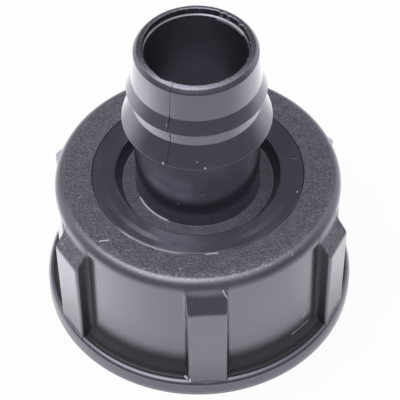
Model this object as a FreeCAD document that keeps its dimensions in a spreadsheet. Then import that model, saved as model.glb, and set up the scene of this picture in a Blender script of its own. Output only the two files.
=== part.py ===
import FreeCAD, Part
import math
import os
import Sketcher

# A swivel nut, a barbed hose tail that turns in it and the flat washer that seals them.
# Z is the hose axis, and the nut's lower rim stands on Z = 0. Lengths are in millimetres.

PARTS_FOLDER = "parts"
FULL_TURN = 360.0
TOUCH = 0.001

# Driving dimensions: one row each, with what it measures.
DIMENSIONS = [
    ("nut_height", 40.4, "nut, from the lower rim to the flat top ring"),
    ("rim_overhang", 4.0, "how far the nut's lower rim stands out from the wall"),
    ("rim_edge", 3.4, "upright part of the rim"),
    ("rim_slope", 1.8, "bevel above the upright part, as wide as it is high"),
    ("wall_thick", 5.7, "nut's wall round the thread, at its top"),
    ("wall_draft", 0.4, "how much further out the wall stands at the rim"),
    ("wall_foot", 0.8, "bevel that fills the corner between the wall and the rim"),
    ("crown_round", 3.2, "round between the wall and the top ring, cut as three bevels"),
    ("lead_in", 1.2, "bevel at the mouth of the threaded bore"),
    ("relief_depth", 0.7, "how much wider the bore is above the thread"),
    ("plate_thick", 4.0, "top plate that holds the hose tail in"),
    ("lip_width", 3.7, "how far the plate reaches in from the wall of the threaded bore"),
    ("hole_edge", 0.4, "bevelled edge of the hole in the plate"),
    ("rib_count", 6, "grip ribs round the nut"),
    ("rib_width", 9.7, "grip rib across its outer face"),
    ("rib_draft", 0.25, "extra half width of a rib where it leaves the wall"),
    ("rib_gap", 0.135, "wall left between the crown's round and a rib's upper corners"),
    ("rib_shoulder", 8.2, "drop from the top ring to a rib's outer corner"),
    ("rib_root", 1.5, "depth to which a rib is sunk in the wall"),
    ("rib_setback", 0.6, "how far a rib's outer corners stand back from the rim"),
    ("rib_edge", 0.4, "bevelled edges of a rib's outer face"),
    ("tail_reach", 43.7, "hose tail above the top ring"),
    ("bore_radius", 12.25, "flow bore through the hose tail"),
    ("tube_wall", 3.3, "wall of the plain tube under and between the barbs"),
    ("tip_taper", 0.75, "how much narrower the tail is at its tip"),
    ("tip_edge", 0.9, "bevelled outer edge of the tip"),
    ("mouth_step", 0.35, "how much wider the bore is at the tip"),
    ("mouth_depth", 1.7, "how far down the wider bore runs"),
    ("barb_one_rise", 1.35, "crest of the upper barb above the tube"),
    ("barb_one_start", 9.1, "tip to the top of the upper barb's flare"),
    ("barb_one_crest", 13.0, "tip to the crest of the upper barb"),
    ("barb_two_rise", 2.8, "crest of the lower barb above the tube"),
    ("barb_two_start", 17.3, "tip to the top of the lower barb's flare"),
    ("barb_two_crest", 22.9, "tip to the crest of the lower barb"),
    ("barb_back", 1.0, "height of the hooked face under a barb"),
    ("boss_proud", 0.1, "boss of the tail above the nut's top ring"),
    ("boss_gap", 0.3, "clearance between the boss and the hole in the plate"),
    ("boss_edge", 0.35, "bevelled outer edge of the boss"),
    ("boss_land", 5.9, "flat land of the boss round the recess"),
    ("recess_width", 4.85, "ring-shaped recess between the tube and the land"),
    ("recess_draft", 1.2, "how much narrower the recess is at its floor"),
    ("recess_depth", 3.0, "depth of the recess"),
    ("recess_edge", 0.4, "bevelled upper edge of the recess"),
    ("tube_foot", 0.4, "bevel that fills the corner between the tube and the recess floor"),
    ("collar_thick", 4.0, "collar that turns under the nut's plate"),
    ("collar_gap", 0.8, "clearance between the collar and the wider bore"),
    ("turn_play", 0.3, "clearance above and below the collar"),
    ("funnel_flare", 5.75, "how much wider the flow bore is at its lower mouth"),
    ("funnel_height", 4.4, "height over which the flow bore narrows"),
    ("washer_thick", 3.0, "sealing washer"),
    ("washer_inset", 4.5, "how far the washer's hole stands back from the flow bore's mouth"),
    ("washer_gap", 0.3, "clearance between the washer and the wider bore"),
]

# Sizes and places that follow from the driving dimensions.
DERIVED = [
    ("mouth_radius", "bore_radius + mouth_step"),
    ("tube_radius", "bore_radius + tube_wall"),
    ("tip_radius", "tube_radius - tip_taper"),
    ("barb_one_radius", "tube_radius + barb_one_rise"),
    ("barb_two_radius", "tube_radius + barb_two_rise"),
    ("recess_radius", "tube_radius + recess_width"),
    ("boss_radius", "recess_radius + boss_land"),
    ("hole_radius", "boss_radius + boss_gap"),
    ("thread_radius", "hole_radius + lip_width"),
    ("relief_radius", "thread_radius + relief_depth"),
    ("wall_radius", "thread_radius + wall_thick"),
    ("rim_radius", "wall_radius + rim_overhang"),
    ("shelf_radius", "rim_radius - rim_slope"),
    ("rib_half", "rib_width / 2"),
    ("rib_face", "sqrt((rim_radius - rib_setback) ^ 2 - rib_half ^ 2)"),
    ("rib_inner", "wall_radius - rib_root"),
    ("rib_corner", "sqrt(wall_radius ^ 2 - (rib_half + rib_draft) ^ 2)"),
    ("crown_near", "crown_round * (1 - cos(30))"),
    ("crown_far", "crown_round * (1 - cos(60))"),
    ("rib_crest", "crown_round + rib_gap"),
    ("rib_fall", "(rib_shoulder - rib_crest) / (rib_face - rib_corner)"),
    ("rib_half_inner", "rib_half + rib_draft * (rib_face - rib_inner) / (rib_face - wall_radius)"),
    ("rib_inner_top", "nut_height - rib_crest + rib_fall * (rib_corner - rib_inner)"),
    ("rib_outer_top", "nut_height - rib_shoulder"),
    ("rim_top", "rim_edge + rim_slope"),
    ("plate_under", "nut_height - plate_thick"),
    ("collar_top", "plate_under - turn_play"),
    ("collar_under", "collar_top - collar_thick"),
    ("washer_top", "collar_under - turn_play"),
    ("washer_under", "washer_top - washer_thick"),
    ("washer_radius", "relief_radius - washer_gap"),
    ("collar_radius", "relief_radius - collar_gap"),
    ("funnel_radius", "bore_radius + funnel_flare"),
    ("washer_hole", "funnel_radius + washer_inset"),
    ("boss_top", "nut_height + boss_proud"),
    ("recess_floor", "boss_top - recess_depth"),
    ("tip_top", "nut_height + tail_reach"),
    ("barb_one_edge", "tip_top - barb_one_crest"),
    ("barb_two_edge", "tip_top - barb_two_crest"),
]

# Corners of each turned section, as radius and height.
NUT_SECTION = [
    ("thread_radius + lead_in", "0"),
    ("rim_radius", "0"),
    ("rim_radius", "rim_edge"),
    ("shelf_radius", "rim_top"),
    ("wall_radius + wall_draft + wall_foot", "rim_top"),
    ("wall_radius + wall_draft", "rim_top + wall_foot"),
    ("wall_radius", "nut_height - crown_round"),
    ("wall_radius - crown_near", "nut_height - crown_far"),
    ("wall_radius - crown_far", "nut_height - crown_near"),
    ("wall_radius - crown_round", "nut_height"),
    ("hole_radius + hole_edge", "nut_height"),
    ("hole_radius", "nut_height - hole_edge"),
    ("hole_radius", "plate_under"),
    ("relief_radius", "plate_under"),
    ("relief_radius", "washer_under"),
    ("thread_radius", "washer_under"),
    ("thread_radius", "lead_in"),
]

TAIL_SECTION = [
    ("funnel_radius", "collar_under"),
    ("collar_radius", "collar_under"),
    ("collar_radius", "collar_top"),
    ("boss_radius", "collar_top"),
    ("boss_radius", "boss_top - boss_edge"),
    ("boss_radius - boss_edge", "boss_top"),
    ("recess_radius + recess_edge", "boss_top"),
    ("recess_radius", "boss_top - recess_edge"),
    ("recess_radius - recess_draft", "recess_floor"),
    ("tube_radius + tube_foot", "recess_floor"),
    ("tube_radius", "recess_floor + tube_foot"),
    ("tube_radius", "barb_two_edge - barb_back"),
    ("barb_two_radius", "barb_two_edge"),
    ("tube_radius", "tip_top - barb_two_start"),
    ("tube_radius", "barb_one_edge - barb_back"),
    ("barb_one_radius", "barb_one_edge"),
    ("tube_radius", "tip_top - barb_one_start"),
    ("tip_radius", "tip_top - tip_edge"),
    ("tip_radius - tip_edge", "tip_top"),
    ("mouth_radius", "tip_top"),
    ("mouth_radius", "tip_top - mouth_depth"),
    ("bore_radius", "tip_top - mouth_depth - (mouth_radius - bore_radius)"),
    ("bore_radius", "collar_under + funnel_height"),
]

WASHER_SECTION = [
    ("washer_hole", "washer_under"),
    ("washer_radius", "washer_under"),
    ("washer_radius", "washer_top"),
    ("washer_hole", "washer_top"),
]


def make_sheet(doc):
    """Write the driving and the derived dimensions to a sheet, each under its own alias."""
    sheet = doc.addObject("Spreadsheet::Sheet", "Sizes")
    aliases = [name for name, _, _ in DIMENSIONS]
    for row, (name, value, note) in enumerate(DIMENSIONS, start=1):
        sheet.set(f"A{row}", note)
        sheet.set(f"B{row}", str(value))
        sheet.setAlias(f"B{row}", name)
    for row, (name, formula) in enumerate(DERIVED, start=len(DIMENSIONS) + 1):
        sheet.set(f"A{row}", name)
        sheet.set(f"B{row}", f"={formula}")
        sheet.setAlias(f"B{row}", name)
        aliases.append(name)
    doc.recompute()
    return sheet, aliases


class Sizes:
    """Reads the sheet, and turns a formula of aliases into one that other objects can use."""

    def __init__(self, doc):
        self.sheet, self.aliases = make_sheet(doc)

    def linked(self, formula):
        words = formula.replace("(", " ( ").replace(")", " ) ").split()
        return " ".join(f"Sizes.{word}" if word in self.aliases else word for word in words)

    def value(self, formula):
        return float(self.sheet.evalExpression(self.linked(formula)))


def origin_part(body, role):
    return next(item for item in body.Origin.OriginFeatures if item.Role == role)


def outline(body, name, corners, sizes, offset="0"):
    """A closed sketch on the upright XZ plane, moved by offset towards -Y, one corner a pair."""
    sketch = body.newObject("Sketcher::SketchObject", name)
    sketch.AttachmentSupport = [(origin_part(body, "XZ_Plane"), "")]
    sketch.MapMode = "FlatFace"
    if offset != "0":
        sketch.setExpression("AttachmentOffset.Base.z", sizes.linked(offset))
    points = [FreeCAD.Vector(sizes.value(across), sizes.value(up), 0) for across, up in corners]
    count = len(points)
    for index, point in enumerate(points):
        sketch.addGeometry(Part.LineSegment(point, points[(index + 1) % count]), False)
    for index in range(count):
        follower = (index + 1) % count
        sketch.addConstraint(Sketcher.Constraint("Coincident", index, 2, follower, 1))
    for index, (across, up) in enumerate(corners):
        bind(sketch, "DistanceX", index, points[index].x, across, sizes)
        if up == "0":
            sketch.addConstraint(Sketcher.Constraint("PointOnObject", index, 1, -1))
        else:
            bind(sketch, "DistanceY", index, points[index].y, up, sizes)
    return sketch


def bind(sketch, kind, corner, start, formula, sizes):
    """Tie one coordinate of a corner to its formula."""
    made = sketch.addConstraint(Sketcher.Constraint(kind, -1, 1, corner, 1, start))
    sketch.setExpression(f"Constraints[{made}]", sizes.linked(formula))


def turned(body, name, corners, sizes):
    """A section turned once round the hose axis."""
    section = outline(body, f"{name}_section", corners, sizes)
    solid = body.newObject("PartDesign::Revolution", name)
    solid.Profile = section
    solid.ReferenceAxis = (section, ["V_Axis"])
    solid.Angle = FULL_TURN
    body.Document.recompute()


def edge_names(shape, chosen):
    return [f"Edge{index}" for index, edge in enumerate(shape.Edges, start=1) if chosen(edge)]


def bevelled(body, name, chosen, size, sizes):
    """Bevel the edges of the body's tip that the chosen test accepts."""
    base = body.Tip
    chamfer = body.newObject("PartDesign::Chamfer", name)
    chamfer.Base = (base, edge_names(base.Shape, chosen))
    chamfer.setExpression("Size", sizes.linked(size))
    body.Document.recompute()


def rib_corner_edges(sizes):
    """Accepts the edges that meet at the upper outer corners of the ribs."""
    reach = sizes.value("rib_face")
    height = sizes.value("rib_outer_top")

    def is_corner(point):
        return math.hypot(point.x, point.y) > reach - TOUCH and abs(point.z - height) < TOUCH

    def chosen(edge):
        return any(is_corner(vertex.Point) for vertex in edge.Vertexes)

    return chosen


def swivel_nut(doc, sizes):
    """The nut: a turned shell with a top plate, and drafted grip ribs that stand on its rim."""
    body = doc.addObject("PartDesign::Body", "SwivelNut")
    body.Label = "swivel_nut"
    turned(body, "nut_shell", NUT_SECTION, sizes)
    inner_corners = [
        ("-1 * rib_half_inner", "rim_edge"),
        ("rib_half_inner", "rim_edge"),
        ("rib_half_inner", "rib_inner_top"),
        ("-1 * rib_half_inner", "rib_inner_top"),
    ]
    outer_corners = [
        ("-1 * rib_half", "rim_edge"),
        ("rib_half", "rim_edge"),
        ("rib_half", "rib_outer_top"),
        ("-1 * rib_half", "rib_outer_top"),
    ]
    root = outline(body, "rib_root_section", inner_corners, sizes, "rib_inner")
    face = outline(body, "rib_face_section", outer_corners, sizes, "rib_face")
    rib = body.newObject("PartDesign::AdditiveLoft", "grip_rib")
    rib.Profile = root
    rib.Sections = [face]
    rib.Ruled = True
    doc.recompute()
    ribs = body.newObject("PartDesign::PolarPattern", "grip_ribs")
    ribs.Originals = [rib]
    ribs.Axis = (origin_part(body, "Z_Axis"), [""])
    ribs.Angle = FULL_TURN
    ribs.setExpression("Occurrences", sizes.linked("rib_count"))
    body.Tip = ribs
    doc.recompute()
    bevelled(body, "rib_edges", rib_corner_edges(sizes), "rib_edge", sizes)
    return body


def hose_tail(doc, sizes):
    """The tail: collar, boss with its recess, and a tube with two barbs and a tapered tip."""
    body = doc.addObject("PartDesign::Body", "HoseTail")
    body.Label = "hose_tail"
    turned(body, "tail_shell", TAIL_SECTION, sizes)
    return body


def sealing_washer(doc, sizes):
    """The flat rubber washer under the collar."""
    body = doc.addObject("PartDesign::Body", "SealingWasher")
    body.Label = "sealing_washer"
    turned(body, "washer_ring", WASHER_SECTION, sizes)
    return body


def check(doc, bodies):
    """Stop if a feature failed or a solid is broken."""
    for item in doc.Objects:
        if "Invalid" in item.State or "Error" in item.State:
            raise RuntimeError(f"{item.Name} failed: {item.State}")
    for body in bodies:
        shape = body.Shape
        if shape.isNull() or not shape.isValid() or len(shape.Solids) != 1:
            raise RuntimeError(f"{body.Label} is not one sound solid")
        print(f"{body.Label}: {shape.Volume:.0f} cubic mm, {len(shape.Faces)} faces")


def main():
    doc = FreeCAD.newDocument("HoseBarbAdapter")
    sizes = Sizes(doc)
    bodies = [make(doc, sizes) for make in (swivel_nut, hose_tail, sealing_washer)]
    for body in bodies:
        body.Placement = FreeCAD.Placement()
    doc.recompute()
    check(doc, bodies)
    os.makedirs(PARTS_FOLDER, exist_ok=True)
    for body in bodies:
        body.Shape.exportStep(f"{PARTS_FOLDER}/{body.Label}.step")


main()
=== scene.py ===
import math

import bpy
import numpy as np
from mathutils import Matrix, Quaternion, Vector


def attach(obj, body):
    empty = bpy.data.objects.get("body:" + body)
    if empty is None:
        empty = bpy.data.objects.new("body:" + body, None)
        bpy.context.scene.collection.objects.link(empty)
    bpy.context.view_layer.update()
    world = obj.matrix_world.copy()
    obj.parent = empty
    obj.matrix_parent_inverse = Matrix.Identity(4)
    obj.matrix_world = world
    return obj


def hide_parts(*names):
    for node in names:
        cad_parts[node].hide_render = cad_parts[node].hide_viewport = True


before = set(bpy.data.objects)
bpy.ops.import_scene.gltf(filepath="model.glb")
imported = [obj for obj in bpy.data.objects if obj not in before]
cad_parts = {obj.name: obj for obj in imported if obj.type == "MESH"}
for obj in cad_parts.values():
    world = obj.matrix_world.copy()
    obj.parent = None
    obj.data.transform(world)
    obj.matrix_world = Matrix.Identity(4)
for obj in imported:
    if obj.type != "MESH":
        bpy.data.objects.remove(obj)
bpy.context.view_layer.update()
mm = 0.001
print("frame loaded:", sorted(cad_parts))


class Signal:  # one output in a node tree, with ordinary arithmetic
    def __init__(self, graph, socket):
        self.graph = graph
        self.socket = socket

    def math(self, operation, *others):
        return self.graph.node("ShaderNodeMath", {"operation": operation}, dict(enumerate((self, *others))))

    def __add__(self, other):
        return self.math("ADD", other)

    def __radd__(self, other):
        return self.math("ADD", other)

    def __sub__(self, other):
        return self.math("SUBTRACT", other)

    def __rsub__(self, other):
        return self.math("MULTIPLY", -1.0).math("ADD", other)

    def __mul__(self, other):
        return self.math("MULTIPLY", other)

    def __rmul__(self, other):
        return self.math("MULTIPLY", other)

    def __truediv__(self, other):
        return self.math("DIVIDE", other)

    def __rtruediv__(self, other):
        return self.math("POWER", -1.0).math("MULTIPLY", other)

    def least(self, other):
        return self.math("MINIMUM", other)

    def most(self, other):
        return self.math("MAXIMUM", other)

    def between(self, low, high):  # 0 below low, 1 above high, smooth between
        settings = {"interpolation_type": "SMOOTHSTEP", "clamp": True}
        return self.graph.node("ShaderNodeMapRange", settings, {"Value": self, "From Min": low, "From Max": high})

    def window(self, low, high, soft):  # 1 from low to high, fading over soft outside them
        return self.between(low - soft, low) * (1.0 - self.between(high, high + soft))


class Graph:  # a node tree that hands out signals
    def __init__(self, tree):
        self.tree = tree

    def node(self, kind, settings=None, inputs=None, output=0):
        made = self.tree.nodes.new(kind)
        for name, value in (settings or {}).items():
            setattr(made, name, value)
        for name, value in (inputs or {}).items():
            self.feed(made.inputs[name], value)
        return Signal(self, made.outputs[output])

    def feed(self, socket, value):
        if isinstance(value, Signal):
            self.tree.links.new(value.socket, socket)
        else:
            socket.default_value = value

    def mixColor(self, factor, first, second):
        return self.node("ShaderNodeMix", {"data_type": "RGBA"}, {0: factor, 6: first, 7: second}, 2)

    def mixShader(self, factor, first, second):
        return self.node("ShaderNodeMixShader", {}, {0: factor, 1: first, 2: second})

    def glow(self, color, strength):
        return self.node("ShaderNodeEmission", {}, {"Color": color, "Strength": strength})

    def bump(self, strength, distance, height, normal=None):
        inputs = {"Strength": strength, "Distance": distance, "Height": height}
        if normal:
            inputs["Normal"] = normal
        return self.node("ShaderNodeBump", {}, inputs)

    def axes(self, place):  # the three parts of a vector
        made = self.tree.nodes.new("ShaderNodeSeparateXYZ")
        self.feed(made.inputs[0], place)
        return [Signal(self, made.outputs[axis]) for axis in range(3)]

    def vector(self, operation, first, second=(0, 0, 0), output=0):
        return self.node("ShaderNodeVectorMath", {"operation": operation}, {0: first, 1: second}, output)

    def noise(self, place, scale, detail=2.0, roughness=0.5):
        inputs = {"Vector": place, "Scale": scale, "Detail": detail, "Roughness": roughness}
        return self.node("ShaderNodeTexNoise", {}, inputs)


def newMaterial(name):  # a material, its graph and its principled shader
    made = bpy.data.materials.new(name)
    made.use_nodes = True
    return made, Graph(made.node_tree), made.node_tree.nodes["Principled BSDF"]


def showSurface(graph, shader):
    graph.feed(graph.tree.nodes["Material Output"].inputs["Surface"], shader)


nutSizes = {  # millimetres; a section corner is radius, height, round, longest step after it
    "section": [
        (31.5, 0.0, 0.2, 3.0),
        (39.98, 0.0, 0.5, 1.3),
        (39.98, 3.3, 0.0, 12.0),
        (36.35, 10.2, 0.0, 2.9),
        (36.13, 29.0, 0.0, 0.35),
        (36.0, 40.38, 3.3, 1.5),
        (26.6, 40.38, 0.14, 1.2),
        (26.6, 36.4, 0.1, 2.0),
        (31.0, 36.4, 0.2, 2.0),
        (31.0, 28.8, 0.1, 3.0),
        (30.3, 28.8, 0.1, 6.0),
        (30.3, 1.2, 0.2, 1.0),
    ],
    "rim": 39.98,
    "rimRound": 1.6,
    "footSteps": 32,
    "footRise": 4.9,
    "footTop": 10.2,
    "shelfHeight": 4.95,
    "wall": 36.0,
    "wallDraft": 0.4,
    "crown": 3.3,
    "height": 40.38,
    "ribs": 6,
    "ribHalf": 4.85,
    "ribFace": 39.1,
    "ribDraft": 0.08,
    "ribShoulder": 32.2,
    "ribFall": 1.39,
    "ribRound": 0.5,
    "ribCrestRound": 0.3,
    "ribRoot": 0.9,
    "ribEnd": 38.0,
    "weld": 0.002,
    "columns": {  # degrees from the middle of a rib: places, or from, to and step
        "face": [0, 2, 4, 5.2, 5.9, 6.3],
        "edge": (6.5, 8.35, 0.13),
        "root": (8.5, 12.2, 0.33),
        "wall": [12.8, 13.6],
        "restFrom": 15.0,
        "restCount": 8,
    },
}

threadSizes = {  # millimetres
    "Wall Radius": 30.3,
    "Depth": 2.2,
    "Pitch": 6.0,
    "Start Height": 4.2,
    "Ridge Width": 3.3,
    "Back Depth": 0.25,
    "Clearance": 0.02,
    "Weld": 0.001,
}

threadShape = {  # turns, shares, radians and counts; a flatness above 1 cuts a wave's tops flat
    "Turns": 3.9,
    "Run Out": 0.06,
    "Start Angle": -1.2,
    "Crest Flatness": 1.5,
    "Side Flatness": 1.35,
    "Taper": 0.45,
    "End Width": 0.15,
    "Steps Along": 560,
    "Steps Around": 21,
}

tailSizes = {  # millimetres, the same way; columns is how many points a ring has
    "section": [
        (18.0, 32.1, 0.3, 3.0),
        (30.2, 32.1, 0.5, 2.0),
        (30.2, 36.1, 0.5, 2.0),
        (26.46, 36.1, 0.2, 2.0),
        (26.46, 40.32, 0.14, 1.0),
        (24.5, 40.32, 0.3, 1.0),
        (23.2, 40.48, 0.3, 1.0),
        (20.75, 40.48, 0.45, 0.8),
        (19.15, 37.5, 0.5, 0.8),
        (15.55, 37.5, 0.3, 1.5),
        (15.55, 60.2, 0.3, 1.0),
        (18.33, 61.2, 0.22, 1.0),
        (15.55, 66.8, 0.5, 1.0),
        (15.55, 70.1, 0.25, 1.0),
        (16.88, 71.1, 0.22, 1.0),
        (15.56, 75.0, 0.4, 1.0),
        (14.76, 82.7, 0.9, 0.4),
        (13.9, 83.72, 0.9, 0.4),
        (12.62, 84.09, 0.35, 0.5),
        (12.62, 82.35, 0.15, 0.5),
        (12.25, 82.0, 0.15, 3.0),
        (12.25, 36.5, 1.0, 2.0),
    ],
    "columns": 300,
    "tubeRadii": (14.0, 18.5),
    "tubeFoot": 39.0,
    "partingAngle": 243.5,
    "partingWidth": 0.45,
    "partingDepth": 0.06,
    "partingColumns": (-2.4, 2.41, 0.3),
    "lipRadius": 13.7,
    "lipHeight": 82.5,
    "lipFade": 0.8,
    "chipAngle": 231.0,
    "chipWidth": 6.0,
    "chipDepth": 0.4,
    "ripple": 0.09,
    "rippleWaves": [(23.0, 0.0), (9.0, 1.0), (41.0, 2.0)],
    "nicks": [59.0, 50.0, 32.0, 2.0, 336.0],
    "nickWidth": 1.6,
    "nickDepth": 0.3,
}

roundSizes = {  # radians, millimetres, and shares of the shorter side beside a corner
    "bend": 0.2,
    "straight": 0.02,
    "reachShare": 0.47,
    "hold": 0.05,
    "holdShare": 0.04,
}


def roundedSection(corners):  # closed outline with true arcs at its corners, each between two holding points
    r = roundSizes
    points = []
    for index, (radius, height, fillet, step) in enumerate(corners):
        here = np.array([radius, height])
        before = np.array(corners[index - 1][:2])
        after = np.array(corners[(index + 1) % len(corners)][:2])
        shortest = min(np.linalg.norm(before - here), np.linalg.norm(after - here))
        back = (before - here) / np.linalg.norm(before - here)
        ahead = (after - here) / np.linalg.norm(after - here)
        turn = math.pi - math.acos(max(-1.0, min(1.0, float(back @ ahead))))
        if fillet == 0.0 or turn < r["straight"]:
            points.append((here, step))
            continue
        reach = min(fillet * math.tan(turn / 2), r["reachShare"] * shortest)
        fillet = reach / math.tan(turn / 2)
        middle = (back + ahead) / np.linalg.norm(back + ahead)
        centre = here + middle * fillet / math.cos(turn / 2)
        arm = here + back * reach - centre
        side = math.copysign(1.0, back[1] * ahead[0] - back[0] * ahead[1])
        pieces = max(3, math.ceil(turn / r["bend"]))
        margin = min(r["hold"], shortest * r["holdShare"])
        points.append((here + back * (reach + margin), step))
        for piece in range(pieces + 1):
            angle = side * turn * piece / pieces
            cosine, sine = math.cos(angle), math.sin(angle)
            turned = np.array([arm[0] * cosine - arm[1] * sine, arm[0] * sine + arm[1] * cosine])
            points.append((centre + turned, step))
        points.append((here + ahead * (reach + margin), step))
    filled = []
    for index, (point, step) in enumerate(points):
        following = points[(index + 1) % len(points)][0]
        pieces = max(1, math.ceil(np.linalg.norm(following - point) / step - 1e-6))
        filled += [point + (following - point) * piece / pieces for piece in range(pieces)]
    return np.array(filled)


def gridMesh(name, places, closed):  # rows x columns x 3 in millimetres; the last row joins the first
    rows, columns = places.shape[:2]
    row, column = np.meshgrid(np.arange(rows), np.arange(columns if closed else columns - 1), indexing="ij")
    this, following = row * columns, (row + 1) % rows * columns
    nextColumn = (column + 1) % columns
    faces = np.stack([this + column, this + nextColumn, following + nextColumn, following + column], -1)
    mesh = bpy.data.meshes.new(name)
    mesh.from_pydata((places.reshape(-1, 3) * mm).tolist(), [], faces.reshape(-1, 4).tolist())
    mesh.shade_smooth()
    mesh.update()
    return mesh


def placed(name, mesh):
    made = bpy.data.objects.new(name, mesh)
    bpy.context.scene.collection.objects.link(made)
    return made


def geometryTree(name, numbers):  # a tree with an input for each number, whole or not
    tree = bpy.data.node_groups.new(name, "GeometryNodeTree")
    tree.interface.new_socket("Geometry", in_out="INPUT", socket_type="NodeSocketGeometry")
    for label, value in numbers.items():
        kind = "NodeSocketInt" if isinstance(value, int) else "NodeSocketFloat"
        tree.interface.new_socket(label, in_out="INPUT", socket_type=kind)
    tree.interface.new_socket("Material", in_out="INPUT", socket_type="NodeSocketMaterial")
    tree.interface.new_socket("Geometry", in_out="OUTPUT", socket_type="NodeSocketGeometry")
    graph = Graph(tree)
    entry = tree.nodes.new("NodeGroupInput")
    return graph, {socket.name: Signal(graph, socket) for socket in entry.outputs if socket.name}


def endTree(graph, geometry, material):
    whole = graph.node("GeometryNodeRealizeInstances", {}, {0: geometry})
    coloured = graph.node("GeometryNodeSetMaterial", {}, {"Geometry": whole, "Material": material})
    ending = graph.tree.nodes.new("NodeGroupOutput")
    graph.feed(ending.inputs[0], coloured)


def grown(name, mesh, tree, numbers, material):  # keeps what the tree makes of a mesh as a plain mesh
    carrier = placed(name + "Carrier", mesh)
    modifier = carrier.modifiers.new(name, "NODES")
    modifier.node_group = tree
    for item in tree.interface.items_tree:
        if item.in_out == "INPUT" and item.name in numbers:
            modifier[item.identifier] = numbers[item.name]
        if item.in_out == "INPUT" and item.name == "Material":
            modifier[item.identifier] = material
    depsgraph = bpy.context.evaluated_depsgraph_get()
    result = bpy.data.meshes.new_from_object(carrier.evaluated_get(depsgraph))
    bpy.data.objects.remove(carrier)
    result.name = name
    result.polygons.foreach_set("material_index", [0] * len(result.polygons))
    result.materials.clear()  # Set Material leaves an empty slot in front of its own
    result.materials.append(material)
    return placed(name, result)


def shellAndRib(angle, height, nearest=20.0, farthest=39.6, halvings=40):  # where a ray leaves wall and rib
    s = nutSizes
    low = np.full(np.broadcast(angle, height).shape, nearest)
    high = np.full_like(low, farthest)
    slant = math.hypot(1.0, s["ribDraft"])
    slope = math.hypot(1.0, s["ribFall"])
    for _ in range(halvings):
        radius = (low + high) / 2
        across, out = np.abs(radius * np.sin(angle)), radius * np.cos(angle)
        face = out - s["ribFace"]
        side = (across - s["ribHalf"] - s["ribDraft"] * (s["ribFace"] - out)) / slant
        top = (height - s["ribShoulder"] - s["ribFall"] * (s["ribFace"] - out)) / slope
        rib = roundedMeet(roundedMeet(face, side, s["ribRound"]), top, s["ribCrestRound"])
        draft = s["wallDraft"] * (s["height"] - height) / (s["height"] - s["shelfHeight"])
        wall = radius - s["wall"] - draft
        bendAway = np.maximum(height - (s["height"] - s["crown"]), 0.0)
        inner = np.maximum(radius - (s["wall"] + draft - s["crown"]), 0.0)
        wall = np.where(bendAway > 0, np.hypot(inner, bendAway) - s["crown"], wall)
        both = np.where(height > s["ribEnd"], wall, roundedJoin(wall, rib, s["ribRoot"]))
        low, high = np.where(both < 0, radius, low), np.where(both < 0, high, radius)
    return (low + high) / 2


def roundedMeet(first, second, fillet):  # inside both, with a rounded edge
    inside = np.minimum(np.maximum(first + fillet, second + fillet), 0.0)
    return np.hypot(np.maximum(first + fillet, 0.0), np.maximum(second + fillet, 0.0)) - fillet + inside


def roundedJoin(first, second, fillet):  # inside either, with a filled corner
    outside = np.maximum(np.minimum(first - fillet, second - fillet), 0.0)
    return fillet - np.hypot(np.minimum(first - fillet, 0.0), np.minimum(second - fillet, 0.0)) + outside


def footPath(base, fine=30):  # a column from the rim's upright edge, over its round, to the wall or rib at base
    s = nutSizes
    centre, low = s["rim"] - s["rimRound"], s["shelfHeight"] - s["rimRound"]
    sweep = max(0.0, centre - base)
    bend = np.linspace(0.0, math.acos(min(1.0, max(0.0, (base - centre) / s["rimRound"]))), fine)
    over = np.stack([centre + s["rimRound"] * np.cos(bend), low + s["rimRound"] * np.sin(bend)], -1)
    rise = s["footRise"] * sweep / (centre - s["wall"])
    turn = np.linspace(0.0, math.pi / 2, fine)
    up = np.stack([centre - sweep * np.sin(turn), s["shelfHeight"] + rise * (1.0 - np.cos(turn))], -1)
    path = np.concatenate([over, up if sweep > 0 else over[-1:], [[base, s["footTop"]]]])
    travelled = np.concatenate([[0.0], np.cumsum(np.hypot(*np.diff(path, axis=0).T))])
    even = np.linspace(0.0, travelled[-1], s["footSteps"] + 2)[1:-1]
    return np.stack([np.interp(even, travelled, path[:, axis]) for axis in range(2)], -1)


def nutSector():  # one rib and the shell on both sides of it, ready to be repeated round the axis
    s = nutSizes
    c = s["columns"]
    rest = np.linspace(c["restFrom"], 180 / s["ribs"], c["restCount"])
    side = np.concatenate([c["face"], np.arange(*c["edge"]), np.arange(*c["root"]), c["wall"], rest])
    angles = np.radians(np.concatenate([-side[:0:-1], side]))
    section = roundedSection(s["section"])
    radius = np.repeat(section[:, :1], len(angles), 1)
    height = np.repeat(section[:, 1:], len(angles), 1)
    skin = (height > s["shelfHeight"]) & (radius > s["wall"] - s["crown"])
    radius = np.where(skin, np.maximum(radius, shellAndRib(angles[None, :], height)), radius)
    bases = shellAndRib(angles, np.full_like(angles, s["footTop"]))
    feet = np.stack([footPath(base) for base in bases], 1)
    rimTop = np.hypot(section[:, 0] - s["rim"], section[:, 1] - s["shelfHeight"] + s["rimRound"])
    split = int(np.argmin(rimTop)) + 1  # the feet go in between the rim's edge and the wall
    assert section[split, 1] > s["footTop"] - 0.1, "the wall has to start at footTop"
    radius = np.concatenate([radius[:split], feet[:, :, 0], radius[split:]])
    height = np.concatenate([height[:split], feet[:, :, 1], height[split:]])
    across = radius * np.sin(angles)[None, :]
    out = -radius * np.cos(angles)[None, :]
    return gridMesh("nutSector", np.stack([across, out, height], -1), False)


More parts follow.
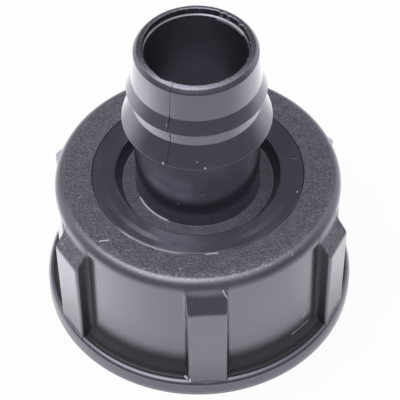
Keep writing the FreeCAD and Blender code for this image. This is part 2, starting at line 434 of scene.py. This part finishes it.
def makeNut(material):
    numbers = {"Rib Count": nutSizes["ribs"], "Seam": nutSizes["weld"] * mm}
    graph, given = geometryTree("repeatedSector", numbers)
    points = graph.node("GeometryNodePoints", {}, {"Count": given["Rib Count"]})
    index = graph.node("GeometryNodeInputIndex")
    turn = graph.node("ShaderNodeCombineXYZ", {}, {"Z": index * (2 * math.pi) / given["Rib Count"]})
    sectors = {"Points": points, "Instance": given["Geometry"], "Rotation": turn}
    copies = graph.node("GeometryNodeInstanceOnPoints", {}, sectors)
    whole = graph.node("GeometryNodeRealizeInstances", {}, {0: copies})
    welded = graph.node("GeometryNodeMergeByDistance", {}, {"Geometry": whole, "Distance": given["Seam"]})
    smooth = graph.node("GeometryNodeSetShadeSmooth", {}, {"Geometry": welded, "Shade Smooth": True})
    endTree(graph, smooth, given["Material"])
    nut = grown("nutShell", nutSector(), graph.tree, numbers, material)
    print("nut shell:", len(nut.data.polygons), "faces")
    return nut


def makeThread(material):
    numbers = {label: value * mm for label, value in threadSizes.items()} | threadShape
    graph, given = geometryTree("threadRidge", numbers)
    counts = {"Vertices X": given["Steps Along"], "Vertices Y": given["Steps Around"]}
    sheet = graph.node("GeometryNodeMeshGrid", {}, {"Size X": 1.0, "Size Y": 1.0} | counts)
    sheetX, sheetY, _ = graph.axes(graph.node("GeometryNodeInputPosition"))
    along = sheetX + 0.5
    around = sheetY * (2 * math.pi)
    fade = along.between(0.0, given["Run Out"]) * (1.0 - along.between(1.0 - given["Run Out"], 1.0))
    deep = (around.math("SINE") * given["Crest Flatness"]).most(-1.0).least(1.0)
    wide = (around.math("COSINE") * given["Side Flatness"]).most(-1.0).least(1.0)
    crest = deep.most(0.0) * given["Depth"] * fade
    radius = given["Wall Radius"] - crest - deep.least(0.0) * given["Back Depth"] + given["Clearance"]
    rise = wide * given["Ridge Width"] * 0.5 * (1.0 - deep.most(0.0) * given["Taper"])
    spread = given["End Width"] + fade * (1.0 - given["End Width"])
    height = given["Start Height"] + along * given["Turns"] * given["Pitch"] + rise * spread
    angle = along * given["Turns"] * (2 * math.pi) + given["Start Angle"]
    parts = {"X": radius * angle.math("COSINE"), "Y": radius * angle.math("SINE"), "Z": height}
    helix = graph.node("ShaderNodeCombineXYZ", {}, parts)
    moved = graph.node("GeometryNodeSetPosition", {}, {"Geometry": sheet, "Position": helix})
    welded = graph.node("GeometryNodeMergeByDistance", {}, {"Geometry": moved, "Distance": given["Weld"]})
    smooth = graph.node("GeometryNodeSetShadeSmooth", {}, {"Geometry": welded, "Shade Smooth": True})
    endTree(graph, smooth, given["Material"])
    thread = grown("nutThread", bpy.data.meshes.new("seed"), graph.tree, numbers, material)
    print("thread ridge:", len(thread.data.polygons), "faces")
    return thread


def makeTail(material):
    s = tailSizes
    even = np.arange(s["columns"]) * 360.0 / s["columns"]
    seams = (s["partingAngle"], s["partingAngle"] + 180.0)
    fine = [(seam + np.arange(*s["partingColumns"])) % 360 for seam in seams]
    degrees = np.unique(np.round(np.concatenate([even, *fine]), 3))
    angles = np.radians(degrees)
    section = roundedSection(s["section"])
    radius = np.repeat(section[:, :1], len(angles), 1)
    height = np.repeat(section[:, 1:], len(angles), 1)
    inner, outer = s["tubeRadii"]
    outside = (radius > inner) & (radius < outer) & (height > s["tubeFoot"])
    for seam in seams:
        off = (degrees - seam + 180.0) % 360.0 - 180.0
        groove = np.exp(-((off / s["partingWidth"]) ** 2)) * s["partingDepth"]
        radius = radius - outside * groove[None, :]
    inward = np.clip((s["lipRadius"] - radius) / s["lipFade"], 0.0, 1.0)
    lip = inward * np.clip((height - s["lipHeight"]) / s["lipFade"], 0.0, 1.0)
    chip = s["chipDepth"] * np.exp(-((degrees - s["chipAngle"]) / s["chipWidth"]) ** 2)
    ripple = s["ripple"] * np.prod([np.sin(angles * waves + phase) for waves, phase in s["rippleWaves"]], 0)
    nicks = sum(np.exp(-((degrees - nick) / s["nickWidth"]) ** 2) for nick in s["nicks"]) * s["nickDepth"]
    radius = radius + lip * (chip + ripple - nicks)[None, :]
    across = radius * np.cos(angles)[None, :]
    out = radius * np.sin(angles)[None, :]
    mesh = gridMesh("hoseTail", np.stack([across, out, height], -1), True)
    mesh.materials.append(material)
    tail = placed("hoseTail", mesh)
    print("hose tail:", len(mesh.polygons), "faces")
    return tail


plasticFinish = {  # linear colours, roughness, depths in metres, and scales as waves per metre
    "color": (0.0125, 0.0112, 0.0155, 1.0),
    "nutPale": (0.058, 0.054, 0.070, 1.0),
    "tailPale": (0.070, 0.066, 0.084, 1.0),
    # pale colour of real flecks, dust and scratches, and of the painted highlights along edges
    "wearAndGlint": (0.72, 0.70, 0.76, 1.0),
    "seam": (0.006, 0.006, 0.007, 1.0),
    "ior": 2.0,
    "specular": 1.0,
    "tint": (0.86, 0.84, 1.0, 1.0),
    "coatIor": 1.55,
    "coatRough": 0.16,
    "coat": 0.35,
    # dull: dark colour of the painted shade at the nut's foot and beside its ribs, and of the grain's pits
    "dull": (0.022, 0.0205, 0.027, 1.0),
    "dullRough": 0.5,
    "dullSpecular": 0.3,
    "nutRough": 0.27,
    "crownRough": 0.15,
    "tailRough": 0.24,
    "wearAndGlintRough": 0.6,
    # roughness where shade is painted at the nut's foot and rim
    "paintedShadeRough": 0.75,
    "grainRough": 0.38,
    "grainScale": 2000.0,
    "grainDepth": 0.0005,
    "grainPits": 0.6,
    "pitScales": (1900.0, 420.0),
    "fineScale": 700.0,
    "broadScale": 120.0,
    "bumpStrength": 0.5,
    "lineDepth": 0.00002,
    "swellDepth": 0.00003,
    "swellScale": 250.0,
    "dustScale": 260.0,
    "dustSize": (0.03, 0.055),
    "dustShare": (0.955, 0.965),
    "dustPale": 0.5,
}

nutTones = {"wall": 0.22, "ring": 0.36, "ribTop": 0.4}  # how far from the base colour to the pale one

tailTones = {"tube": 0.14, "recess": 0.55, "lip": 0.3, "bore": 0.25, "lines": 0.25}

nutMarks = {  # millimetres: from, to, half width, and how pale
    "ringFleck": ((-29.9, -6.7, 40.4), (-29.6, -6.9, 40.4), 0.22, 0.5),
    "ringFibre": ((-24.9, -21.1, 40.4), (-22.7, -20.9, 40.4), 0.26, 0.9),
    "ringDot": ((-6.0, -30.9, 40.4), (-5.9, -30.9, 40.4), 0.25, 0.45),
    "ribFleck": ((-34.5, -16.1, 33.9), (-34.3, -16.0, 33.9), 0.28, 0.5),
    "footFleck": ((-4.6, -38.9, 5.0), (-4.5, -38.9, 5.9), 0.4, 1.0),
    "footDot": ((-5.6, -37.4, 5.0), (-5.2, -38.0, 5.0), 0.45, 0.8),
    "footDust": ((-4.8, -38.6, 7.6), (-4.8, -38.6, 9.2), 0.25, 0.6),
    "crownDot": ((21.1, -27.8, 39.6), (21.2, -27.7, 39.6), 0.25, 0.5),
    # the two burr strokes: pale lines on the hole's edge, painted highlights along burrs there
    "burrGlintLeft": ((-19.4, -18.6, 40.4), (-17.5, -20.6, 40.4), 0.2, 0.6),
    "burrGlintFront": ((0.4, -26.75, 40.35), (3.2, -26.6, 40.35), 0.28, 0.95),
    "scratchLow": ((21.9, -29.0, 9.1), (26.4, -25.0, 9.3), 0.24, 0.8),
    "scratchHigh": ((24.9, -26.5, 12.7), (25.7, -25.7, 13.7), 0.2, 0.8),
    "ribHair": ((3.9, -35.9, 37.6), (4.2, -36.2, 36.7), 0.2, 0.9),
    "ribHairEnd": ((4.2, -36.2, 36.7), (5.0, -36.6, 35.2), 0.2, 0.8),
    "wallFleck": ((-2.6, -36.1, 31.0), (-2.5, -36.1, 31.0), 0.2, 0.4),
}

nutDents = {"ringDent": ((14.7, -26.4, 40.4), (19.0, -23.6, 40.4), 0.35, 0.8)}  # the same way, and dark

tailMarks = {
    "landFleck": ((-8.9, -15.8, 61.6), (-8.8, -15.8, 61.5), 0.28, 1.0),
    "landDot": ((0.8, -18.1, 61.6), (0.9, -18.1, 61.6), 0.26, 0.9),
    "landDust": ((-1.0, -17.4, 63.1), (-0.9, -17.4, 63.1), 0.22, 0.5),
    "seamFleck": ((-7.7, -14.3, 72.4), (-7.7, -14.2, 73.0), 0.25, 0.35),
    "tubeDot": ((0.4, -15.6, 49.1), (0.5, -15.6, 49.2), 0.22, 0.35),
    "tubeDust": ((-5.6, -14.5, 45.0), (-5.5, -14.5, 45.1), 0.22, 0.3),
    "annulusDot": ((24.1, -8.5, 40.3), (24.2, -8.4, 40.3), 0.26, 0.6),
    "annulusLine": ((20.9, 2.7, 40.4), (25.4, 2.5, 40.3), 0.13, 0.22),
    "crestRub": ((9.6, -14.3, 71.0), (14.5, -9.0, 71.0), 0.3, 0.25),
}


def marked(graph, place, marks):  # how strongly any of the marks covers a place
    total = None
    for start, end, width, strength in marks.values():
        first, span = Vector(start) * mm, (Vector(end) - Vector(start)) * mm
        offset = graph.vector("SUBTRACT", place, first)
        along = (graph.vector("DOT_PRODUCT", offset, span, 1) / span.length_squared).most(0.0).least(1.0)
        nearest = graph.node("ShaderNodeVectorMath", {"operation": "SCALE"}, {0: span, "Scale": along})
        distance = graph.vector("LENGTH", graph.vector("SUBTRACT", offset, nearest), output=1) / mm
        mask = (1.0 - distance.between(width * 0.4, width)) * strength
        total = mask if total is None else total.most(mask)
    return total


def plastic(name):  # the shader and the coordinates that both plastics start from
    f = plasticFinish
    made, graph, shader = newMaterial(name)
    shader.inputs["IOR"].default_value = f["ior"]
    shader.inputs["Specular IOR Level"].default_value = f["specular"]
    shader.inputs["Specular Tint"].default_value = f["tint"]
    shader.inputs["Coat IOR"].default_value = f["coatIor"]
    shader.inputs["Coat Roughness"].default_value = f["coatRough"]
    coordinates = made.node_tree.nodes.new("ShaderNodeTexCoord")
    place = Signal(graph, coordinates.outputs["Object"])
    x, y, z = graph.axes(place)
    at = {
        "place": place,
        "radius": (x * x + y * y).math("SQRT") / mm,
        "height": z / mm,
        "angle": y.math("ARCTAN2", x) * (180.0 / math.pi),
        "upward": graph.axes(Signal(graph, coordinates.outputs["Normal"]))[2],
    }
    return made, graph, shader, at


def finished(graph, shader, at, grained, paintedShade, rough, tone, pale, lines):  # joins grain, swells, marks and dust, painted highlights and painted shade
    f = plasticFinish
    place = at["place"]
    speckle = graph.noise(place, f["grainScale"], 3.0, 0.65)
    fine = graph.noise(place, f["fineScale"])
    broad = graph.noise(place, f["broadScale"])
    grainBump = graph.bump(grained, f["grainDepth"], speckle)
    lineBump = graph.bump(f["bumpStrength"], f["lineDepth"], lines, grainBump)
    swell = graph.noise(place, f["swellScale"])
    graph.feed(shader.inputs["Normal"], graph.bump(f["bumpStrength"], f["swellDepth"], swell, lineBump))
    cells = [graph.node("ShaderNodeTexVoronoi", {}, {"Vector": place, "Scale": f["dustScale"]}, k) for k in (0, 1)]
    lucky = graph.node("ShaderNodeSeparateColor", {}, {0: cells[1]}).between(*f["dustShare"])
    # pale marks: real flecks, scratches and dust, together with the painted highlights and glints handed in with
    # pale
    wearAndGlint = pale.most((1.0 - cells[0].between(*f["dustSize"])) * lucky * f["dustPale"])
    roughness = rough + grained * (f["grainRough"] - rough) + (broad - 0.5) * 0.1 + (fine - 0.5) * 0.08
    roughness = roughness.most(wearAndGlint * f["wearAndGlintRough"]).most(paintedShade * f["paintedShadeRough"])
    graph.feed(shader.inputs["Roughness"], roughness)
    graph.feed(shader.inputs["Coat Weight"], (1.0 - grained) * (1.0 - paintedShade) * f["coat"])
    # the painted shade darkens the tone here
    grainTone = tone + (speckle.between(0.38, 0.64) - 0.45) * grained * 0.9 - paintedShade * 0.2
    small, large = (graph.noise(place, scale) for scale in f["pitScales"])
    pits = grained * (1.0 - (small * 0.75 + large * 0.25).between(0.32, 0.66)) * f["grainPits"]
    return grainTone + (broad - 0.5) * 0.3 + (fine - 0.5) * 0.16, wearAndGlint, pits


def dulledOver(graph, shader, factor, color):  # lays a dull skin of one colour over the shader
    f = plasticFinish
    skin = {"Base Color": color, "Roughness": f["dullRough"], "Specular IOR Level": f["dullSpecular"]}
    dull = graph.node("ShaderNodeBsdfPrincipled", {}, skin)
    showSurface(graph, graph.mixShader(factor, Signal(graph, shader.outputs[0]), dull))


def nutPlastic():  # masks in millimetres and degrees; -90 degrees is the rib in front
    f = plasticFinish
    made, graph, shader, at = plastic("nutPlastic")
    radius, height, angle, upward = at["radius"], at["height"], at["angle"], at["upward"]
    front = angle.window(-100.0, -80.0, 1.0)
    notBack = angle.between(10.0, 2.0)
    top = height.between(38.9, 39.4) * upward.between(0.88, 0.985) * radius.between(26.5, 26.8)
    ribTop = height.between(32.2, 32.6) * upward.between(0.25, 0.4) * radius.between(35.9, 36.3)
    # grain and painted light on the rib tops: the front-left and front-right tops are grained and painted paler,
    # the front one only a little, the back ones not at all
    sideTop = ribTop * (1.0 - front * 0.8) * notBack * angle.between(-178.0, -170.0)
    # painted highlight: a pale line along the front-left of the hole's edge
    edge = radius.window(26.62, 26.9, 0.16) * height.between(40.0, 40.3)
    pale = marked(graph, at["place"], nutMarks).most(edge * angle.window(-134.0, -106.0, 9.0) * 0.75)
    tone = nutTones["wall"] + top * nutTones["ring"] + sideTop * nutTones["ribTop"]
    # painted shade: the wall's foot and the wall beside the side ribs take a darker, duller, streaked skin where
    # shade and dark reflections fall
    turn = (angle + 150.0).math("PINGPONG", 30.0)
    within = radius.window(34.0, 38.5, 0.4) * height.between(4.3, 4.7)
    foot = within * (1.0 - height.between(9.2, 15.0))
    shoulder = within * (1.0 - height.between(36.0, 38.0)) * (1.0 - turn.between(10.8, 13.6))
    beside = shoulder * (1.0 - angle.window(-104.0, -76.0, 2.0)) * (1.0 - upward.between(0.2, 0.35)) * notBack
    streaks = graph.noise(graph.node("ShaderNodeCombineXYZ", {}, {"X": radius - height}), 2.2, 2.0, 0.6)
    paintedShadeSkin = (foot * (0.78 + streaks * 0.3)).most(beside * 0.9).least(1.0)
    rough = height.between(37.5, 38.5) * f["crownRough"] + f["nutRough"]
    # painted highlight: pale sparkles in a band on the crown's front
    crownBand = radius.window(32.6, 34.4, 0.6) * height.between(38.6, 39.0) * angle.window(-128.0, -52.0, 10.0)
    paintedSparkle = crownBand * graph.noise(at["place"], 1700.0, 2.0, 0.6).between(0.56, 0.68) * 0.3
    # painted shade: the rim's top line and the wall's foot are darkened, made rougher and left uncoated
    rimLine = height.window(4.4, 5.1, 0.3) * radius.window(38.3, 39.4, 0.3)
    paintedShade = foot * 0.5 + rimLine * 0.5
    grained = top.most(sideTop)
    tone, wearAndGlint, pits = finished(graph, shader, at, grained, paintedShade, rough, tone, pale.most(paintedSparkle), 0.0)
    color = graph.mixColor(tone, f["color"], f["nutPale"])
    color = graph.mixColor(marked(graph, at["place"], nutDents), color, f["seam"])
    graph.feed(shader.inputs["Base Color"], graph.mixColor(wearAndGlint, color, f["wearAndGlint"]))
    # the dull skin carries the painted shade and the grain's pits
    dulledOver(graph, shader, paintedShadeSkin.most(pits) * (1.0 - wearAndGlint), f["dull"])
    return made


def tailPlastic():  # masks the same way
    f, t = plasticFinish, tailTones
    made, graph, shader, at = plastic("tailPlastic")
    radius, height, angle = at["radius"], at["height"], at["angle"]
    recess = height.window(37.0, 37.75, 0.2) * radius.window(15.7, 19.0, 0.1)
    lip = height.between(83.3, 83.8) * radius.between(12.64, 12.8)
    # painted light: the inside of the bore is painted paler than the outside
    bore = 1.0 - radius.between(12.5, 12.7)
    land = radius.window(20.9, 26.4, 0.2) * height.window(40.0, 40.7, 0.2)
    lines = graph.noise(graph.node("ShaderNodeCombineXYZ", {}, {"X": radius}), 4.5, 3.0, 0.7) * land
    # painted highlights: pale lines where the recess's edge, the boss's edge and the mouth's rim catch light, and
    # a painted reflection just inside the mouth
    footLine = radius.window(15.6, 15.8, 0.14) * height.window(37.45, 37.8, 0.1)
    bossEdge = radius.window(20.5, 20.75, 0.22) * height.between(39.9, 40.2)
    mouthEdge = height.window(82.05, 82.25, 0.12) * radius.window(12.2, 12.7, 0.1)
    belowMouth = height.window(81.4, 82.1, 0.1) * bore
    glints = [
        footLine * angle.window(-158.0, -124.0, 5.0) * 0.8,
        bossEdge * angle.window(-160.0, -120.0, 14.0) * 0.3,
        mouthEdge * angle.window(60.0, 148.0, 8.0) * 0.22,
        mouthEdge * angle.window(26.0, 62.0, 5.0) * 0.6,
        belowMouth * angle.window(26.0, 62.0, 4.0) * 0.5,
    ]
    pale = marked(graph, at["place"], tailMarks)
    for glint in glints:
        pale = pale.most(glint)
    tone = t["tube"] + recess * t["recess"] + lip * t["lip"] + bore * t["bore"] + (lines - 0.5) * land * t["lines"]
    grained = recess.most(lip * 0.25)
    tone, wearAndGlint, pits = finished(graph, shader, at, grained, 0.0, f["tailRough"], tone, pale, lines)
    color = graph.mixColor(tone, f["color"], f["tailPale"])
    graph.feed(shader.inputs["Base Color"], graph.mixColor(wearAndGlint, color, f["wearAndGlint"]))
    off = (angle + 360.0 - tailSizes["partingAngle"]).math("ABSOLUTE")
    seam = (1.0 - off.between(0.35, 0.8)) * height.between(60.0, 62.0)
    gouges = seam * height.window(74.0, 75.5, 0.4).most(height.window(68.0, 69.2, 0.4))
    dulledOver(graph, shader, (seam * 0.5).most(gouges).most(pits * 0.7) * (1.0 - wearAndGlint), f["seam"])
    return made


washerFinish = {  # linear colours, and scales as waves per metre
    "dark": (0.016, 0.016, 0.017, 1.0),
    "bloom": (0.034, 0.033, 0.034, 1.0),
    "bloomScale": 160.0,
    "fineScale": 1400.0,
    "fineDepth": 0.00005,
    "rough": 0.62,
}


def washerRubber():
    f = washerFinish
    made, graph, shader = newMaterial("washerRubber")
    place = graph.node("ShaderNodeTexCoord", {}, {}, "Object")
    fine = graph.noise(place, f["fineScale"], 3.0, 0.6)
    bloom = graph.noise(place, f["bloomScale"], 3.0, 0.6)
    graph.feed(shader.inputs["Base Color"], graph.mixColor(bloom.between(0.35, 0.7), f["dark"], f["bloom"]))
    graph.feed(shader.inputs["Roughness"], f["rough"] + bloom * 0.2)
    graph.feed(shader.inputs["Normal"], graph.bump(0.6, f["fineDepth"], fine))
    return made


nutSkin = nutPlastic()
nut = makeNut(nutSkin)
thread = makeThread(nutSkin)
tail = makeTail(tailPlastic())
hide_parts("swivel_nut")
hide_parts("hose_tail")
for piece in (nut, thread):
    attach(piece, "nut")
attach(tail, "tail")
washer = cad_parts["sealing_washer"]
washer.data.materials.clear()
washer.data.materials.append(washerRubber())
print("pieces made")


studio = {  # metres, degrees and strengths; a flag's outline is radius, height
    "distance": 0.4295,
    "azimuth": -2.7,
    "elevation": 48.86,
    "lean": 0.8,
    "target": (0.0, 0.0, 0.035),
    "lens": 153.0,
    "sensor": 36.0,
    "clip": (0.01, 20.0),
    "shift": (0.005, -0.0373),
    "overheadSize": 0.58,
    "overheadPlace": (-0.15, -0.1, 0.61),
    "overheadAim": (0.0, 0.0, 0.04),
    "overheadStrength": 1.9,
    "ambient": 0.6,
    "floorHalf": 3.0,
    "floorDrop": 0.0001,
    "floorColor": (0.9, 0.9, 0.9, 1.0),
    "floorGlow": 0.93,
    "flagColor": (0.15, 0.15, 0.165, 1.0),
    "flagSteps": 48,
    "lowOutline": [
        (0.0405, 0.0006),
        (0.06, 0.0006),
        (0.12, 0.0007),
        (0.32, 0.0009),
        (0.42, 0.1),
        (0.46, 0.25),
        (0.45, 0.38),
        (0.41, 0.49),
    ],
    "lowTurn": (-270.0, 360.0),
    "rearOutline": [(0.5, 0.04), (0.5, 0.25), (0.5, 0.45), (0.44, 0.62), (0.34, 0.72)],
    "rearTurn": (25.0, 130.0),
    "glowStrength": 2.0,
    "contactEdge": (43.0, 50.0),
    "contactDark": 0.35,
}
white = (1.0, 1.0, 1.0, 1.0)


def makeCamera():
    tilt, turn = math.radians(studio["elevation"]), math.radians(studio["azimuth"])
    back = Vector((math.sin(turn) * math.cos(tilt), -math.cos(turn) * math.cos(tilt), math.sin(tilt)))
    data = bpy.data.cameras.new("camera")
    data.lens = studio["lens"]
    data.sensor_width = studio["sensor"]
    data.shift_x, data.shift_y = studio["shift"]
    data.clip_start, data.clip_end = studio["clip"]
    camera = placed("camera", data)
    camera.location = Vector(studio["target"]) + back * studio["distance"]
    camera.rotation_mode = "QUATERNION"
    level = (-back).to_track_quat("-Z", "Y")
    camera.rotation_quaternion = level @ Quaternion((0.0, 0.0, 1.0), -math.radians(studio["lean"]))
    bpy.context.scene.camera = camera


def seenDirectly(graph):  # 1 for the rays that should find the white background
    path = graph.tree.nodes.new("ShaderNodeLightPath")
    labels = ("Is Camera Ray", "Is Glossy Ray", "Is Transmission Ray")
    camera, glossy, transmitted = (Signal(graph, path.outputs[label]) for label in labels)
    return camera.most(glossy).most(transmitted)


def makeFloor():
    made, graph, shader = newMaterial("paleFloor")
    shader.inputs["Base Color"].default_value = studio["floorColor"]
    shader.inputs["Roughness"].default_value = 0.9
    shader.inputs["Specular IOR Level"].default_value = 0.0
    share = seenDirectly(graph) * studio["floorGlow"]
    showSurface(graph, graph.mixShader(share, Signal(graph, shader.outputs[0]), graph.glow(white, 1.0)))
    half = studio["floorHalf"]
    mesh = bpy.data.meshes.new("floor")
    mesh.from_pydata([(-half, -half, 0), (half, -half, 0), (half, half, 0), (-half, half, 0)], [], [(0, 1, 2, 3)])
    mesh.materials.append(made)
    floor = placed("floor", mesh)
    floor.location.z = -studio["floorDrop"]


def makeFlag(name, outline, turn, cover, glow=None):  # a sheet round the object that only reflections see
    start, sweep = turn
    steps, count = studio["flagSteps"], len(outline)
    places = []
    for step in range(steps + 1):
        angle = math.radians(start + sweep * step / steps)
        places += [(radius * math.cos(angle), radius * math.sin(angle), height) for radius, height in outline]
    corners = [row * count + k for row in range(steps) for k in range(count - 1)]
    faces = [(corner, corner + 1, corner + count + 1, corner + count) for corner in corners]
    mesh = bpy.data.meshes.new(name)
    mesh.from_pydata(places, [], faces)
    made, graph, _ = newMaterial(name)
    x, y, z = graph.axes(graph.node("ShaderNodeTexCoord", {}, {}, "Object"))
    radius = (x * x + y * y).math("SQRT")
    around = (x / radius, y / radius, radius / mm, z / mm)
    mixed = graph.node("ShaderNodeBsdfTransparent")
    if glow:
        mixed = graph.mixShader(glow(*around), mixed, graph.glow(white, studio["glowStrength"]))
    showSurface(graph, graph.mixShader(cover(*around), mixed, graph.glow(studio["flagColor"], 1.0)))
    mesh.materials.append(made)
    flag = placed(name, mesh)
    flag.visible_camera = False
    flag.visible_diffuse = False
    flag.visible_shadow = False
    flag.visible_transmission = False


def lowCover(x, y, radius, height):  # dark in front, clear behind, with the soft dark edge of a contact shadow
    contact = 1.0 - radius.between(*studio["contactEdge"])
    away = radius.between(130.0, 250.0)
    nearby = radius.between(60.0, 100.0) * (1.0 - away) * 0.35 * y.between(0.05, -0.75)
    front = away * y.between(0.5, -0.3) * (1.0 - height.between(390.0, 480.0)) * 0.94
    return (contact * studio["contactDark"]).most(nearby).most(front)


def lowGlow(x, y, radius, height):  # the lit floor beside and behind the object, strongest at the left
    left = (y + 0.95).most(0.0).least(1.0)
    right = ((y + 0.65) * 0.75).most(0.0).least(1.0)
    onRight = x.between(-0.3, 0.3)
    nearby = (1.0 - radius.between(90.0, 170.0) * 0.85) * (1.0 - height.between(1.5, 20.0))
    return (left * (1.0 - onRight) + right * onRight) * nearby


def rearCover(x, y, radius, height):
    return y.between(0.3, 0.7) * height.between(60.0, 200.0)


def makeLights():
    data = bpy.data.lights.new("overhead", "AREA")
    data.shape = "SQUARE"
    data.size = studio["overheadSize"]
    data.energy = studio["overheadStrength"] * studio["overheadSize"] ** 2 * math.pi
    lamp = placed("overhead", data)
    lamp.location = studio["overheadPlace"]
    aim = Vector(studio["overheadAim"]) - lamp.location
    lamp.rotation_mode = "QUATERNION"
    lamp.rotation_quaternion = aim.to_track_quat("-Z", "Y")
    world = bpy.data.worlds.new("room")
    bpy.context.scene.world = world
    world.use_nodes = True
    graph = Graph(world.node_tree)
    background = world.node_tree.nodes["Background"]
    background.inputs["Color"].default_value = white
    direct = seenDirectly(graph) * (1.0 - studio["ambient"])
    graph.feed(background.inputs["Strength"], studio["ambient"] + direct)


makeCamera()
makeFloor()
makeLights()
makeFlag("lowFlag", studio["lowOutline"], studio["lowTurn"], lowCover, lowGlow)
makeFlag("rearFlag", studio["rearOutline"], studio["rearTurn"], rearCover)
bpy.context.scene.view_settings.view_transform = "Standard"
print("studio made")
